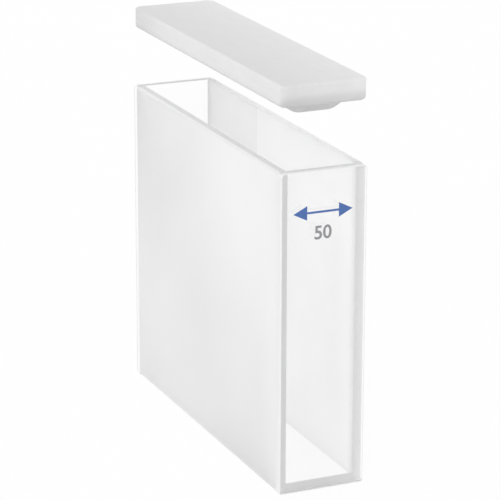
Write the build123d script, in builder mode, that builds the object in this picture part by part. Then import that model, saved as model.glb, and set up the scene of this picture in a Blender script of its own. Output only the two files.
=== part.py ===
from build123d import *
import os

# A rectangular cell that holds a liquid in a beam of light, with its lid lifted off the mouth.
# Five flat plates are fused face to face: two polished windows close the ends of the light path,
# two frosted walls run along it, and the base plate lies between all four.
# The origin is the middle of the foot. X runs along the light path towards the front window,
# Y runs across the cell and Z is up. All sizes are in millimetres.

# Cell
light_path = 50.0  # between the inner faces of the windows
cell_width = 12.5
cell_height = 45.0
window_thickness = 1.25
side_wall_thickness = 1.25
base_thickness = 1.25

# Ground edges of the cell
wall_bevel = 0.3  # outer top and bottom edges of the side walls
window_bevel = 0.15  # all round the outer face of a window
window_shoulder_radius = 0.6  # top corners of a window
window_foot_bevel = 0.2  # bottom corners of a window

# Lid
lid_thickness = 3.0
lid_corner_radius = 1.2  # upright corners of the slab
lid_edge_radius = 0.35  # top and bottom edges of the slab
lid_lift = 8.7  # from the rim up to the slab's underside

# Plug under the lid
plug_depth = 1.8
plug_slope = 1.8  # how far each side leans in from the root to the tip
plug_clearance = 0.4  # between the plug's root and the chamber, on each side
plug_corner_radius = 0.5  # upright corners at the tip
plug_edge_radius = 0.35  # edge of the tip

# Sizes that follow
cell_length = light_path + 2 * window_thickness
chamber_width = cell_width - 2 * side_wall_thickness
lid_underside = cell_height + lid_lift
plug_length = light_path - 2 * plug_clearance
plug_width = chamber_width - 2 * plug_clearance


def make_window(end):
    """A polished plate across one end of the light path: end is 1 for the front, -1 for the rear."""
    with BuildPart() as window:
        with BuildSketch(Plane.YZ.offset(end * light_path / 2)) as outline:
            Rectangle(cell_width, cell_height, align=(Align.CENTER, Align.MIN))
            shoulders = outline.vertices().group_by(Axis.Y)[-1]
            fillet(shoulders, window_shoulder_radius)
            foot_corners = outline.vertices().group_by(Axis.Y)[0]
            chamfer(foot_corners, window_foot_bevel)
        extrude(amount=end * window_thickness)
        outer_face = window.faces().filter_by(Axis.X).sort_by(Axis.X)[-1 if end > 0 else 0]
        chamfer(outer_face.edges(), window_bevel)
    return window


def make_side_wall(side):
    """A long plate between the windows: side is -1 for the near wall, 1 for the far one."""
    with BuildPart() as wall:
        with BuildSketch(Plane.YZ.offset(-light_path / 2)) as section:
            with Locations((side * (cell_width - side_wall_thickness) / 2, 0)):
                Rectangle(side_wall_thickness, cell_height, align=(Align.CENTER, Align.MIN))
            outer_corners = section.vertices().group_by(Axis.X)[-1 if side > 0 else 0]
            chamfer(outer_corners, wall_bevel)
        extrude(amount=light_path)
    return wall


def make_base_plate():
    """The chamber's floor, fused to the windows and the side walls on its four edges."""
    with BuildPart() as base_plate:
        with BuildSketch(Plane.XY):
            Rectangle(light_path, chamber_width)
        extrude(amount=base_thickness)
    return base_plate


def make_lid():
    """A slab as long and wide as the cell, with a tapered plug that drops into the mouth."""
    with BuildPart() as lid:
        with BuildSketch(Plane.XY.offset(lid_underside)):
            RectangleRounded(cell_length, cell_width, lid_corner_radius)
        extrude(amount=lid_thickness)
        level_faces = lid.faces().filter_by(Axis.Z)
        fillet(level_faces.edges(), lid_edge_radius)

        with BuildSketch(Plane.XY.offset(lid_underside)):
            RectangleRounded(plug_length, plug_width, plug_corner_radius + plug_slope)
        with BuildSketch(Plane.XY.offset(lid_underside - plug_depth)):
            RectangleRounded(
                plug_length - 2 * plug_slope, plug_width - 2 * plug_slope, plug_corner_radius
            )
        loft()
        tip = lid.faces().filter_by(Axis.Z).sort_by(Axis.Z)[0]
        fillet(tip.edges(), plug_edge_radius)
    return lid


pieces = {
    "front_window": make_window(1),
    "rear_window": make_window(-1),
    "near_side_wall": make_side_wall(-1),
    "far_side_wall": make_side_wall(1),
    "base_plate": make_base_plate(),
    "lid": make_lid(),
}

os.makedirs("parts", exist_ok=True)
for name, piece in pieces.items():
    piece.part.label = name
    export_step(piece.part, f"parts/{name}.step")
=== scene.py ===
import math

import bmesh
import bpy
from mathutils import Matrix, Vector


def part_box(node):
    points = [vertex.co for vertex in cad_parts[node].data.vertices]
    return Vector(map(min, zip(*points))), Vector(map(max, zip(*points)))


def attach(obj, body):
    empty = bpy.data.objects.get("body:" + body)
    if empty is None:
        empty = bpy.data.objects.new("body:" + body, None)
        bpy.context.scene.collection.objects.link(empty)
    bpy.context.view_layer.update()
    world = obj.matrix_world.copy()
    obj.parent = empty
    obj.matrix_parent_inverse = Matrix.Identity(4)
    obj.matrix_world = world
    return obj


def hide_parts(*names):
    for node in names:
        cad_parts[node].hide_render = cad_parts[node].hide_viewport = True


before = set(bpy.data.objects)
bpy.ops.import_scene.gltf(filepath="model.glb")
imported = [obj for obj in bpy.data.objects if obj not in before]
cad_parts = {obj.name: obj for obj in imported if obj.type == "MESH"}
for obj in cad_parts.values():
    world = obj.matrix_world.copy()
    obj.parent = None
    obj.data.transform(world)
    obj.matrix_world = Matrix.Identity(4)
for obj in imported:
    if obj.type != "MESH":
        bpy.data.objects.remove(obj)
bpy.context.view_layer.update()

# The cell stands on its foot along X, and its lid hangs above the mouth.
# Shapes are built in millimetres and scaled once to the frame's metres.
MM = 0.001
AT_A_PLACE = 1e-3  # how near to a place an edge has to be to lie there
ONE_CORNER = 1e-4  # how near to each other corners have to be to be merged
SQUARE_ON = 0.99  # cosine of how far a flat face may turn from a way and still look that way
SLANTED = 0.7  # the same where the worked edges beside it count too


# Shape helpers

def corners_in_mm(node):
    """Lowest and highest corner of a node of the frame."""
    low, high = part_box(node)
    return low / MM, high / MM


def block(low, high):
    """A plain block between two corners, before its edges are worked."""
    mesh = bmesh.new()
    bmesh.ops.create_cube(mesh, size=1)
    bmesh.ops.scale(mesh, vec=high - low, verts=mesh.verts)
    bmesh.ops.translate(mesh, vec=(low + high) / 2, verts=mesh.verts)
    return mesh


def edges_at(mesh, **place):
    """Edges that lie wholly at the given coordinates, such as y=6.25, z=45."""
    def lies_there(vert):
        return all(abs(getattr(vert.co, axis) - value) < AT_A_PLACE for axis, value in place.items())
    return [edge for edge in mesh.edges if all(lies_there(vert) for vert in edge.verts)]


def work(mesh, geometry, width, steps, affect="EDGES"):
    """Takes the edges or corners down: one step is a flat bevel, more are a round."""
    bmesh.ops.bevel(
        mesh, geom=geometry, offset=width, offset_type="OFFSET", segments=steps,
        profile=0.5, affect=affect, clamp_overlap=True, material=-1,
    )


def number_of(look, looks):
    """The place of a finish among a piece's looks, which it joins if it is new."""
    if look not in looks:
        looks.append(look)
    return looks.index(look)


def finish_faces(mesh, looks, way, look):
    """Gives the flat faces that look one way another finish than the rest of the piece."""
    mesh.normal_update()
    for face in mesh.faces:
        if face.normal.dot(Vector(way).normalized()) > SQUARE_ON:
            face.material_index = number_of(look, looks)


def finish_strip(mesh, looks, seam, side, way, look):
    """Parts the faces at x=seam, and finishes those that look one way on one side of it."""
    everything = mesh.verts[:] + mesh.edges[:] + mesh.faces[:]
    bmesh.ops.bisect_plane(mesh, geom=everything, plane_co=(seam, 0, 0), plane_no=(1, 0, 0))
    for face in mesh.faces:
        if face.normal.dot(Vector(way)) > SLANTED and side * (face.calc_center_median().x - seam) > 0:
            face.material_index = number_of(look, looks)


def put_in_scene(name, data):
    """An object at the origin, unturned and unscaled."""
    thing = bpy.data.objects.new(name, data)
    bpy.context.scene.collection.objects.link(thing)
    return thing


def show(name, mesh, looks):
    """Turns a bmesh into an object with its materials."""
    data = bpy.data.meshes.new(name)
    mesh.to_mesh(data)
    mesh.free()
    for look in looks:
        data.materials.append(look)
    return put_in_scene(name, data)


def finish_piece(name, mesh, looks, slot, *nodes):
    """Turns a bmesh in millimetres into a piece of the object."""
    bmesh.ops.recalc_face_normals(mesh, faces=mesh.faces)
    bmesh.ops.scale(mesh, vec=Vector((MM, MM, MM)), verts=mesh.verts)
    piece = show(name, mesh, looks)
    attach(piece, "root")
    if nodes:
        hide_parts(*nodes)
    return piece


# Material helpers

# A Mix node's inputs by number: the share of the second one, two values and two colours
SHARE, VALUE_1, VALUE_2, COLOUR_1, COLOUR_2 = 0, 2, 3, 6, 7
MIXED_COLOUR = 2  # number of its output for colours


def linear(code):
    """An sRGB hex colour as the linear RGBA that a shader takes."""
    parts = [int(code[i:i + 2], 16) / 255 for i in (1, 3, 5)]
    return [p / 12.92 if p <= 0.04045 else ((p + 0.055) / 1.055) ** 2.4 for p in parts] + [1]


def add(tree, kind, inputs=None, **settings):
    """Adds a node with its settings. Its inputs, by name or number, take values, outputs of
    other nodes, or whole nodes, which stand for their first output."""
    node = tree.nodes.new(kind)
    for name, value in settings.items():
        setattr(node, name, value)
    for name, value in (inputs or {}).items():
        if isinstance(value, bpy.types.Node):
            value = value.outputs[0]
        if isinstance(value, bpy.types.NodeSocket):
            tree.links.new(value, node.inputs[name])
        else:
            node.inputs[name].default_value = value
    return node


def empty_tree(owner):
    """The node tree of a material or a world, with nothing in it yet."""
    owner.use_nodes = True
    owner.node_tree.nodes.clear()
    return owner.node_tree


def new_material(name):
    """A material with no shader yet, and the object's coordinates in millimetres."""
    material = bpy.data.materials.new(name)
    tree = empty_tree(material)
    place = add(tree, "ShaderNodeTexCoord").outputs["Object"]
    in_mm = add(tree, "ShaderNodeMapping", {"Vector": place, "Scale": (1 / MM, 1 / MM, 1 / MM)})
    return material, tree, in_mm


# Fused quartz, of which the cell is made

QUARTZ_INDEX = 1.458  # of refraction
HAZE_PATCH = 6  # millimetres across, as are the patches and grains below
HAZE_ROUGHNESS = 0.03  # where the haze is thickest
GRINDING_PATCH = 14
GRIT = 0.25  # real grit is about ten times finer, and this is as fine as shows
PAINTED_LIGHT_DRIFT = (0.006, 0, 0.003)  # painted light and shade: how much paler in a millimetre along X, Y and Z
GROUND_ROUGHNESS = 0.6
TOOTH = 0.03  # depth of a ground or milled surface's unevenness
TOOTH_SHARE = 0.15  # share of it that shows

# A wall's clearer band falls from the rear's top to the front's foot.
BAND_SLANT = (1, 0, 0.8)  # X + 0.8 Z is the same all along the band
BAND_MIDDLE = 17.6  # that sum at the band's middle
BAND_REACH = 30.0  # how far the sum is from it at the band's edges

# Fusing heats a wall's two ends, a little more at the front's top and the rear's foot.
FUSING_HEAT = (1, 0, 0.08)  # X + 0.08 Z, whose size stands for the heat
HEAT_FROM, HEAT_TO = 20.1, 26.6  # heat at which a wall's look begins to change, and has changed


def make_polished_quartz():
    # Fused quartz, lapped and polished flat: quite clear, with only a breath of handling haze.
    material, tree, place = new_material("polished_quartz")
    haze = add(tree, "ShaderNodeTexNoise", {"Vector": place, "Scale": 1 / HAZE_PATCH, "Detail": 3})
    rough = add(tree, "ShaderNodeMapRange", {
        "Value": haze, "From Min": 0.5, "From Max": 0.75, "To Min": 0.0, "To Max": HAZE_ROUGHNESS,
    })
    quartz = add(tree, "ShaderNodeBsdfPrincipled", {
        "Base Color": linear("#FFFFFF"), "Roughness": rough,
        "IOR": QUARTZ_INDEX, "Transmission Weight": 1.0,
    })
    add(tree, "ShaderNodeOutputMaterial", {"Surface": quartz})
    return material


def make_ground_quartz(name, light, dark, passed, passed_off_band=None, passed_at_ends=None, gloss=0.5):
    # Fused quartz ground with fine grit: a matt white that passes much of the light, softened.
    # Its colour is painted paler towards the front and the top, and greyer towards the rear and the
    # foot, as painted light and shade.
    # A slanting band across a wall's middle can pass more light than the rest of it,
    # and the heat of fusing leaves the last few millimetres of its length milky or clearer.
    if passed_off_band is None:
        passed_off_band = passed
    if passed_at_ends is None:
        passed_at_ends = passed
    material, tree, place = new_material(name)
    cloud = add(tree, "ShaderNodeTexNoise", {
        "Vector": place, "Scale": 1 / GRINDING_PATCH, "Detail": 2,
    })
    grit = add(tree, "ShaderNodeTexNoise", {"Vector": place, "Scale": 1 / GRIT, "Detail": 3})
    # Painted light and shade: the colour drifts paler towards the front and the top.
    painted_light_drift = add(tree, "ShaderNodeVectorMath", {0: place, 1: PAINTED_LIGHT_DRIFT}, operation="DOT_PRODUCT")
    patch = add(tree, "ShaderNodeMath", {0: cloud, 1: painted_light_drift.outputs["Value"]}, operation="ADD")
    tone = add(tree, "ShaderNodeMath", {0: patch, 1: grit}, operation="ADD")
    share = add(tree, "ShaderNodeMapRange", {"Value": tone, "From Min": 0.5, "From Max": 1.6})
    bump = add(tree, "ShaderNodeBump", {
        "Height": grit, "Strength": TOOTH_SHARE, "Distance": TOOTH * MM,
    })
    mix = add(tree, "ShaderNodeMix", {
        SHARE: share, COLOUR_1: linear(dark), COLOUR_2: linear(light),
    }, data_type="RGBA")
    colour = mix.outputs[MIXED_COLOUR]
    quartz = add(tree, "ShaderNodeBsdfPrincipled", {
        "Base Color": colour, "Roughness": GROUND_ROUGHNESS, "IOR": QUARTZ_INDEX,
        "Specular IOR Level": gloss, "Normal": bump,
    })
    soft_light = add(tree, "ShaderNodeBsdfTranslucent", {"Color": colour, "Normal": bump})
    across = add(tree, "ShaderNodeVectorMath", {0: place, 1: BAND_SLANT}, operation="DOT_PRODUCT")
    off_middle = add(tree, "ShaderNodeMath", {
        0: across.outputs["Value"], 1: BAND_MIDDLE,
    }, operation="SUBTRACT")
    off_band = add(tree, "ShaderNodeMath", {0: off_middle}, operation="ABSOLUTE")
    band_share = add(tree, "ShaderNodeMapRange", {
        "Value": off_band, "From Min": 0, "From Max": BAND_REACH,
        "To Min": passed, "To Max": passed_off_band,
    }, interpolation_type="SMOOTHSTEP")
    along = add(tree, "ShaderNodeVectorMath", {0: place, 1: FUSING_HEAT}, operation="DOT_PRODUCT")
    heat = add(tree, "ShaderNodeMath", {0: along.outputs["Value"]}, operation="ABSOLUTE")
    clear_share = add(tree, "ShaderNodeMapRange", {
        "Value": heat, "From Min": HEAT_FROM, "From Max": HEAT_TO,
        "To Min": band_share, "To Max": passed_at_ends,
    }, interpolation_type="SMOOTHSTEP")
    both = add(tree, "ShaderNodeMixShader", {0: clear_share, 1: quartz, 2: soft_light})
    add(tree, "ShaderNodeOutputMaterial", {"Surface": both})
    return material


polished_quartz = make_polished_quartz()

# Broad faces of the walls: the near one's outside, all the others, and the far one's inner
# face towards the rear, which is greyer there as painted shade
milky_ground_quartz = make_ground_quartz(
    "milky_ground_quartz", "#FFFFFF", "#F5F5F5", 0.7, passed_off_band=0.36, passed_at_ends=0.25,
)
fine_ground_quartz = make_ground_quartz(
    "fine_ground_quartz", "#FFFFFF", "#F6F6F6", 0.87, passed_at_ends=1.0,
)
# Painted shade: a greyer copy of the fine ground quartz, for the far wall's inner face towards the rear
painted_shade_quartz = make_ground_quartz("painted_shade_quartz", "#F9F9F9", "#F0F0F0", 0.87)

# Narrow faces, ground with coarser grit, which pass less light
front_ground_edge = make_ground_quartz("front_ground_edge", "#FBFBFB", "#F6F6F6", 0.15)
rear_ground_edge = make_ground_quartz("rear_ground_edge", "#FFFFFF", "#FBFBFB", 0.0)
ground_rim = make_ground_quartz("ground_rim", "#F1F1F1", "#ECECEC", 0.3)
ground_bevel = make_ground_quartz("ground_bevel", "#F8F8F8", "#F3F3F3", 0.27)

# Faces inside a fused joint, which have no gloss: a dense white one, and one open to light
fused_end = make_ground_quartz("fused_end", "#FFFFFF", "#FEFEFE", 0.0, gloss=0.0)
fused_side = make_ground_quartz("fused_side", "#FFFFFF", "#FEFEFE", 0.9, gloss=0.0)


# PTFE, from which the lid is milled

PTFE_INDEX = 1.36  # of refraction
MILLING_STREAK = (5, 0.35, 0.35)  # millimetres along X, Y and Z
WAXY_PATCH = 3  # millimetres across
PLUG_SHADE_GREY = 0.3  # share of grey painted in the plug as shade
PLUG_TONE_FROM, PLUG_TONE_TO = 53.3, 54.8  # heights between which the painted shade towards the plug fades out
FRONT_TONE_RISE = 0.85  # how much higher that painted shade reaches on the lid's front
FRONT_FROM, FRONT_TO = 25.2, 26.2  # X between which the front's painted shade sets in
SIDE_FROM, SIDE_TO = -26, -12  # X along the near side, from its rear end
SIDE_SHADE_REAR, SIDE_SHADE = 0.28, 0.05  # shares of grey painted there as shade
NEAR_EDGE_FROM, NEAR_EDGE_TO = -6.2, -6.0  # Y across the near edge, from the side to the top
TOP_GREY = 0.17  # share of grey along the top's near edge
TOP_FAR_EDGE = 6.0  # Y at which the top has none


def make_milled_ptfe():
    # PTFE, milled from bar: a waxy soft white with faint cutter streaks along its length.
    # Its colour greys towards the plug and low on its front, as painted shade where less light falls,
    # and it is darker along its near edge: the top towards that edge, and the side as painted shade,
    # most at the rear end.
    material, tree, place = new_material("milled_ptfe")
    along = add(tree, "ShaderNodeMapping", {
        "Vector": place, "Scale": tuple(1 / size for size in MILLING_STREAK),
    })
    streak = add(tree, "ShaderNodeTexNoise", {"Vector": along, "Scale": 1, "Detail": 4})
    cloud = add(tree, "ShaderNodeTexNoise", {"Vector": place, "Scale": 1 / WAXY_PATCH, "Detail": 4})
    tone = add(tree, "ShaderNodeMath", {0: streak, 1: cloud}, operation="ADD")
    share = add(tree, "ShaderNodeMapRange", {"Value": tone, "From Min": 0.7, "From Max": 1.3})
    rough = add(tree, "ShaderNodeMapRange", {"Value": cloud, "To Min": 0.38, "To Max": 0.52})
    bump = add(tree, "ShaderNodeBump", {
        "Height": streak, "Strength": TOOTH_SHARE, "Distance": TOOTH * MM,
    })
    white = add(tree, "ShaderNodeMix", {
        SHARE: share, COLOUR_1: linear("#E6E6E6"), COLOUR_2: linear("#EBEBEB"),
    }, data_type="RGBA")
    point = add(tree, "ShaderNodeSeparateXYZ", {0: place})
    # Painted shade: the white greys towards the plug, starting a little higher on the front face.
    rise = add(tree, "ShaderNodeMapRange", {
        "Value": point.outputs["X"], "From Min": FRONT_FROM, "From Max": FRONT_TO,
        "To Min": 0, "To Max": FRONT_TONE_RISE,
    })
    height = add(tree, "ShaderNodeMath", {0: point.outputs["Z"], 1: rise}, operation="SUBTRACT")
    plug_painted_shade = add(tree, "ShaderNodeMapRange", {
        "Value": height, "From Min": PLUG_TONE_FROM, "From Max": PLUG_TONE_TO,
        "To Min": PLUG_SHADE_GREY, "To Max": 0.0,
    }, interpolation_type="SMOOTHSTEP")
    # Painted shade down the near side, most at its rear end
    side = add(tree, "ShaderNodeMapRange", {
        "Value": point.outputs["X"], "From Min": SIDE_FROM, "From Max": SIDE_TO,
        "To Min": SIDE_SHADE_REAR, "To Max": SIDE_SHADE,
    })
    inwards = add(tree, "ShaderNodeMapRange", {
        "Value": point.outputs["Y"], "From Min": NEAR_EDGE_FROM, "From Max": NEAR_EDGE_TO,
    })
    top = add(tree, "ShaderNodeMapRange", {
        "Value": point.outputs["Y"], "From Min": NEAR_EDGE_TO, "From Max": TOP_FAR_EDGE,
        "To Min": TOP_GREY, "To Max": 0.0,
    })
    # The near side's painted shade, and the top's grey towards its near edge
    near_edge_grey = add(tree, "ShaderNodeMix", {SHARE: inwards, VALUE_1: side, VALUE_2: top})
    greyed = add(tree, "ShaderNodeMath", {0: plug_painted_shade, 1: near_edge_grey}, operation="ADD")
    colour = add(tree, "ShaderNodeMix", {
        SHARE: greyed, COLOUR_1: white.outputs[MIXED_COLOUR], COLOUR_2: linear("#9A9A9A"),
    }, data_type="RGBA")
    plastic = add(tree, "ShaderNodeBsdfPrincipled", {
        "Base Color": colour.outputs[MIXED_COLOUR],
        "Roughness": rough, "IOR": PTFE_INDEX, "Normal": bump,
        "Subsurface Weight": 0.15, "Subsurface Radius": (1, 1, 1), "Subsurface Scale": 1 * MM,
    })
    add(tree, "ShaderNodeOutputMaterial", {"Surface": plastic})
    return material


milled_ptfe = make_milled_ptfe()


# Ink of the print

INK_GRAIN = 0.2  # millimetres across, coarser than real pigment so that it shows


def make_ink(name, light, dark):
    # Enamel ink, screen printed and fired: even and a little matt.
    material, tree, place = new_material(name)
    grain = add(tree, "ShaderNodeTexNoise", {"Vector": place, "Scale": 1 / INK_GRAIN, "Detail": 3})
    colour = add(tree, "ShaderNodeMix", {
        SHARE: grain, COLOUR_1: linear(dark), COLOUR_2: linear(light),
    }, data_type="RGBA")
    ink = add(tree, "ShaderNodeBsdfPrincipled", {
        "Base Color": colour.outputs[MIXED_COLOUR], "Roughness": 0.45,
    })
    add(tree, "ShaderNodeOutputMaterial", {"Surface": ink})
    return material


blue_ink = make_ink("blue_ink", "#4F73B1", "#3E61A4")
grey_ink = make_ink("grey_ink", "#97989B", "#8A8B8E")


# Cell

FUSED = 0.02  # a fused face reaches this far into its neighbour, so that no air gap shows
MOUTH_SEAM = 0.7  # width of the dull strip along the mouth on a window's top edge
REAR_SEAM = 0.3  # width of the dull strip down the rear window's sides, along its outer face
PAINTED_SHADE_STEP = -6.8  # X at which the painted shade on the far wall's inner face begins, towards the rear

# Worked edges, each with its width and steps
WINDOW_SHOULDER = (0.6, 6)  # top corners of a window
WINDOW_FOOT = (0.2, 1)  # its bottom corners
WINDOW_BEVEL = (0.15, 2)  # all round its outer face
WALL_BEVEL = (0.3, 1)  # outer top and bottom edges of a side wall
INNER_BEVEL = (0.06, 1)  # the mouth's inner edges, just taken off


def make_window(node, end, ground_edge):
    """A polished plate with ground edges: end is 1 at the front, -1 at the rear."""
    low, high = corners_in_mm(node)
    outer, inner = (high.x, low.x) if end > 0 else (low.x, high.x)
    mesh = block(low, high)
    shoulders = edges_at(mesh, y=low.y, z=high.z) + edges_at(mesh, y=high.y, z=high.z)
    work(mesh, shoulders, *WINDOW_SHOULDER)
    feet = edges_at(mesh, y=low.y, z=low.z) + edges_at(mesh, y=high.y, z=low.z)
    work(mesh, feet, *WINDOW_FOOT)
    work(mesh, edges_at(mesh, x=outer), *WINDOW_BEVEL)
    work(mesh, edges_at(mesh, x=inner, z=high.z), *INNER_BEVEL)

    looks = [ground_edge]
    for way in (1, -1):
        finish_faces(mesh, looks, (way, 0, 0), polished_quartz)
    finish_strip(mesh, looks, inner + end * MOUTH_SEAM, -end, (0, 0, 1), ground_rim)
    if end > 0:
        finish_faces(mesh, looks, (0, 1, 0), fused_side)
        finish_faces(mesh, looks, (0, 0, -1), ground_rim)
    else:
        for way in (-1, 1):
            finish_strip(mesh, looks, outer + REAR_SEAM, -1, (0, way, 0), ground_rim)
    return finish_piece(node + "_quartz", mesh, looks, "polished_glass", node)


def make_wall(node, side, outer_finish):
    """A ground plate, fused at its two ends: side is -1 for the near wall, 1 for the far one."""
    low, high = corners_in_mm(node)
    outer, inner = (high.y, low.y) if side > 0 else (low.y, high.y)
    reach = Vector((FUSED, 0, 0))
    mesh = block(low - reach, high + reach)
    work(mesh, edges_at(mesh, y=outer, z=low.z) + edges_at(mesh, y=outer, z=high.z), *WALL_BEVEL)
    work(mesh, edges_at(mesh, y=inner, z=high.z), *INNER_BEVEL)

    looks = [outer_finish]
    finish_faces(mesh, looks, (1, 0, 0), fused_end)
    finish_faces(mesh, looks, (-1, 0, 0), fused_side)
    finish_faces(mesh, looks, (0, -side, 0), fine_ground_quartz)
    if side < 0:
        finish_faces(mesh, looks, (0, 0, 1), ground_rim)
        finish_faces(mesh, looks, (0, -1, 1), ground_bevel)
    else:
        # Behind that X the far wall's inner face is greyer, as painted shade
        finish_strip(mesh, looks, PAINTED_SHADE_STEP, -1, (0, -1, 0), painted_shade_quartz)
    return finish_piece(node + "_quartz", mesh, looks, "frosted_glass", node)


def make_base():
    """The chamber's clear floor, fused on all four edges."""
    low, high = corners_in_mm("base_plate")
    reach = Vector((FUSED, FUSED, 0))
    mesh = block(low - reach, high + reach)
    looks = [fused_end]
    for way in (1, -1):
        finish_faces(mesh, looks, (0, 0, way), polished_quartz)
        finish_faces(mesh, looks, (0, way, 0), fused_side)
    finish_faces(mesh, looks, (-1, 0, 0), fused_side)
    return finish_piece("base_plate_quartz", mesh, looks, "base_glass", "base_plate")


# Lid

LID_THICKNESS = 3.0
LID_CORNER = 1.2  # radius of the slab's upright corners
PLUG_ROOT = (49.2, 9.2, 1.5)  # length, width and corner radius where the plug leaves the slab
PLUG_TIP = (45.6, 5.6, 1.1)
CORNER_STEPS = 8

# Worked edges, each with its width and steps
LID_TOP_EDGE = (0.25, 4)
LID_FOOT_EDGE = (0.5, 5)
PLUG_ROOT_FILLET = (0.6, 3)
PLUG_TIP_ROUND = (0.8, 6)


def rounded_ring(mesh, length, width, corner, height):
    """The edges round a rectangular face with rounded corners, at one height."""
    others = set(mesh.edges)
    sheet = bmesh.ops.create_grid(mesh, x_segments=1, y_segments=1, size=0.5)["verts"]
    bmesh.ops.scale(mesh, vec=Vector((length, width, 1)), verts=sheet)
    bmesh.ops.translate(mesh, vec=Vector((0, 0, height)), verts=sheet)
    work(mesh, sheet, corner, CORNER_STEPS, affect="VERTICES")
    return [edge for edge in mesh.edges if edge not in others]


def make_lid():
    """A slab as long and wide as the cell, with a tapered plug that drops into the mouth."""
    low, high = corners_in_mm("lid")
    underside = high.z - LID_THICKNESS
    length, width = high.x - low.x, high.y - low.y
    mesh = bmesh.new()
    top = rounded_ring(mesh, length, width, LID_CORNER, high.z)
    rim = rounded_ring(mesh, length, width, LID_CORNER, underside)
    root = rounded_ring(mesh, *PLUG_ROOT, underside)
    tip = rounded_ring(mesh, *PLUG_TIP, low.z)
    inner_faces = [ring[0].link_faces[0] for ring in (rim, root)]
    bmesh.ops.delete(mesh, geom=inner_faces, context="FACES_ONLY")
    for upper, lower in ((top, rim), (rim, root), (root, tip)):
        bmesh.ops.bridge_loops(mesh, edges=upper + lower)
    work(mesh, top, *LID_TOP_EDGE)
    work(mesh, rim, *LID_FOOT_EDGE)
    work(mesh, root, *PLUG_ROOT_FILLET)
    work(mesh, tip, *PLUG_TIP_ROUND)
    for face in mesh.faces:
        face.smooth = True
    lid = finish_piece("lid_ptfe", mesh, [milled_ptfe], "lid_plastic", "lid")
    lid.modifiers.new("flat_faces_stay_flat", "WEIGHTED_NORMAL").keep_sharp = True
    return lid


# Print on the front window

INK = 0.01  # thickness of the print
PRINT_WIDTH = 8.6
PRINT_MIDDLE = -0.2  # across the window, from its middle towards the near wall
ARROW_HEIGHT = 39.3  # above the foot
ARROW_HEAD = 2.0  # length and height of an arrow head
ARROW_SHAFT = 0.3
NUMBER_HEIGHT = 35.6  # of its foot above the foot of the cell
NUMBER_SIZE = 2.6
NUMBER_WEIGHT = 0.05  # how much its strokes are thickened on each side


def printed(name, mesh, ink):
    """Lays a drawing on the front window: its X runs across, its Y up and its Z out of the glass."""
    corner, outer = corners_in_mm("front_window")
    across_up_out = Matrix(((0, 0, 1), (1, 0, 0), (0, 1, 0))).to_4x4()
    bmesh.ops.transform(mesh, matrix=across_up_out, verts=mesh.verts)
    bmesh.ops.translate(mesh, vec=Vector((outer.x + INK / 2, PRINT_MIDDLE, 0)), verts=mesh.verts)
    return finish_piece(name, mesh, [ink], "polished_glass")


def make_arrow():
    """A double-headed arrow, the plain sign for the path that light takes."""
    mesh = bmesh.new()
    shaft = bmesh.ops.create_cube(mesh, size=1)["verts"]
    bmesh.ops.scale(mesh, vec=Vector((PRINT_WIDTH - 2 * ARROW_HEAD, ARROW_SHAFT, INK)), verts=shaft)
    for way in (-1, 1):
        middle = Vector((way * (PRINT_WIDTH - ARROW_HEAD) / 2, 0, 0))
        head = bmesh.ops.create_cube(mesh, size=1)["verts"]
        bmesh.ops.scale(mesh, vec=Vector((ARROW_HEAD, ARROW_HEAD, INK)), verts=head)
        bmesh.ops.translate(mesh, vec=middle, verts=head)
        point = [vert for vert in head if vert.co.x * way > PRINT_WIDTH / 2 - AT_A_PLACE]
        bmesh.ops.scale(mesh, vec=Vector((1, 0, 1)), verts=point)
        bmesh.ops.remove_doubles(mesh, verts=point, dist=ONE_CORNER)
    bmesh.ops.translate(mesh, vec=Vector((0, ARROW_HEIGHT, 0)), verts=mesh.verts)
    return printed("light_path_arrow", mesh, blue_ink)


def make_number():
    """The light path in millimetres, as a plain number."""
    text = bpy.data.curves.new("light_path_number", "FONT")
    text.body = "50"
    text.align_x = "CENTER"
    text.size = NUMBER_SIZE
    text.offset = NUMBER_WEIGHT
    text.extrude = INK / 2
    drawn = put_in_scene("drawn_number", text)
    bpy.context.view_layer.update()
    extruded = drawn.evaluated_get(bpy.context.evaluated_depsgraph_get())
    flat = bpy.data.meshes.new_from_object(extruded)
    bpy.data.objects.remove(drawn)
    mesh = bmesh.new()
    mesh.from_mesh(flat)
    bmesh.ops.remove_doubles(mesh, verts=mesh.verts, dist=ONE_CORNER)
    bmesh.ops.translate(mesh, vec=Vector((0, NUMBER_HEIGHT, 0)), verts=mesh.verts)
    return printed("light_path_number", mesh, grey_ink)


# Studio

FLOOR_GAP = 0.05  # a hair under the foot, so that the glass doesn't share a face with the floor
FLOOR_REACH = 2  # metres from the middle to each side
SHOWN_WHITE = 0.94  # share of plain white that the camera, gloss and glass see in the floor


def seen_directly(tree):
    """1 for the camera, and for what gloss and glass show of the background."""
    path = add(tree, "ShaderNodeLightPath")
    seen = path.outputs["Is Camera Ray"]
    for ray in ("Is Glossy Ray", "Is Transmission Ray"):
        seen = add(tree, "ShaderNodeMath", {0: seen, 1: path.outputs[ray]}, operation="MAXIMUM")
    return seen


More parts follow.
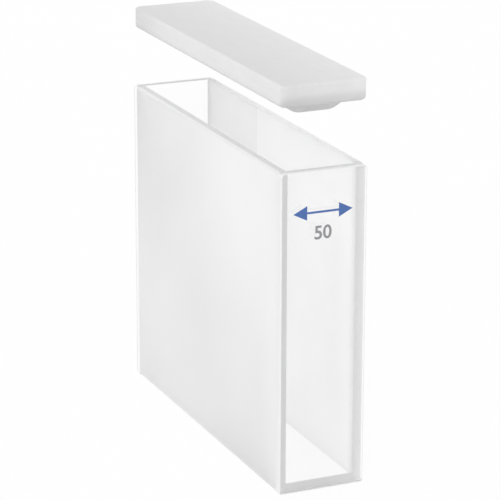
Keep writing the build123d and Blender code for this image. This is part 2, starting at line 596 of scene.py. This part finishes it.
def make_floor():
    # Pale card, which the camera sees as nearly plain white.
    card = bpy.data.materials.new("pale_card")
    tree = empty_tree(card)
    seen = seen_directly(tree)
    share = add(tree, "ShaderNodeMath", {0: seen, 1: SHOWN_WHITE}, operation="MULTIPLY")
    tone = add(tree, "ShaderNodeMix", {
        SHARE: seen, COLOUR_1: linear("#EEEEEE"), COLOUR_2: linear("#FFFFFF"),
    }, data_type="RGBA")
    paper = add(tree, "ShaderNodeBsdfDiffuse", {"Color": tone.outputs[MIXED_COLOUR]})
    white = add(tree, "ShaderNodeEmission", {"Color": linear("#FFFFFF"), "Strength": 1.0})
    surface = add(tree, "ShaderNodeMixShader", {0: share, 1: paper, 2: white})
    add(tree, "ShaderNodeOutputMaterial", {"Surface": surface})
    # Its white is only seen, so it isn't sampled as a lamp.
    card.cycles.emission_sampling = "NONE"

    mesh = bmesh.new()
    bmesh.ops.create_grid(mesh, x_segments=1, y_segments=1, size=FLOOR_REACH)
    bmesh.ops.translate(mesh, vec=Vector((0, 0, -FLOOR_GAP * MM)), verts=mesh.verts)
    floor = show("floor", mesh, [card])


SKY_LOW = 1.3  # light from the horizon
SKY_HIGH = 0.62  # light from straight above
GLOW = 0.35  # what a broad soft panel on the camera's left adds
GLOW_FROM = Vector((0.5, -0.8, 0.25))  # way to the panel's middle
GLOW_EDGE = 0.3  # cosine of the angle between the panel's middle and its edge


def make_sky():
    sky = bpy.data.worlds.new("studio")
    bpy.context.scene.world = sky
    tree = empty_tree(sky)
    direction = add(tree, "ShaderNodeTexCoord").outputs["Generated"]
    height = add(tree, "ShaderNodeSeparateXYZ", {0: direction}).outputs["Z"]
    level = add(tree, "ShaderNodeMapRange", {"Value": height, "To Min": SKY_LOW, "To Max": SKY_HIGH})
    towards = add(tree, "ShaderNodeVectorMath", {
        0: direction, 1: GLOW_FROM.normalized(),
    }, operation="DOT_PRODUCT")
    panel = add(tree, "ShaderNodeMapRange", {
        "Value": towards.outputs["Value"], "From Min": GLOW_EDGE, "From Max": 1.0,
        "To Min": 0, "To Max": GLOW,
    })
    light = add(tree, "ShaderNodeMath", {0: level, 1: panel}, operation="ADD")
    strength = add(tree, "ShaderNodeMix", {SHARE: seen_directly(tree), VALUE_1: light, VALUE_2: 1.0})
    background = add(tree, "ShaderNodeBackground", {
        "Color": linear("#FFFFFF"), "Strength": strength,
    })
    add(tree, "ShaderNodeOutputWorld", {"Surface": background})


AZIMUTH, ELEVATION, ROLL = 66.209, 17.553, 0.156  # degrees
DISTANCE = 380.35  # from the point that the camera looks at
AIM = (0.895, 25.105)  # that point, to the right of the origin and above it in the picture
PICTURE = 500  # pixels across
FOCAL = 2632.66 / PICTURE  # focal length as a share of the picture's width
NEAREST = 0.01  # metres from the camera to the nearest thing that it shows


def make_camera():
    azimuth, elevation, roll = (math.radians(angle) for angle in (AZIMUTH, ELEVATION, ROLL))
    outwards = math.cos(elevation)
    back = Vector((
        math.sin(azimuth) * outwards, -math.cos(azimuth) * outwards, math.sin(elevation),
    ))
    level = Vector((0, 0, 1)).cross(back).normalized()
    right = Matrix.Rotation(roll, 3, back) @ level
    up = back.cross(right)
    place = Matrix((right, up, back)).transposed().to_4x4()
    place.translation = (AIM[0] * right + AIM[1] * up + DISTANCE * back) * MM
    camera = put_in_scene("camera", bpy.data.cameras.new("camera"))
    camera.matrix_world = place
    camera.data.lens = FOCAL * camera.data.sensor_width
    camera.data.clip_start = NEAREST
    bpy.context.scene.camera = camera


make_window("front_window", 1, front_ground_edge)
make_window("rear_window", -1, rear_ground_edge)
make_wall("near_side_wall", -1, milky_ground_quartz)
make_wall("far_side_wall", 1, fine_ground_quartz)
make_base()
make_lid()
make_arrow()
make_number()
make_floor()
make_sky()
make_camera()
bpy.context.scene.view_settings.view_transform = "Standard"
# Light goes through many ground faces before it leaves the cell.
bpy.context.scene.cycles.max_bounces = 32
bpy.context.scene.cycles.diffuse_bounces = 16
bpy.context.scene.cycles.glossy_bounces = 16
bpy.context.scene.cycles.transmission_bounces = 32
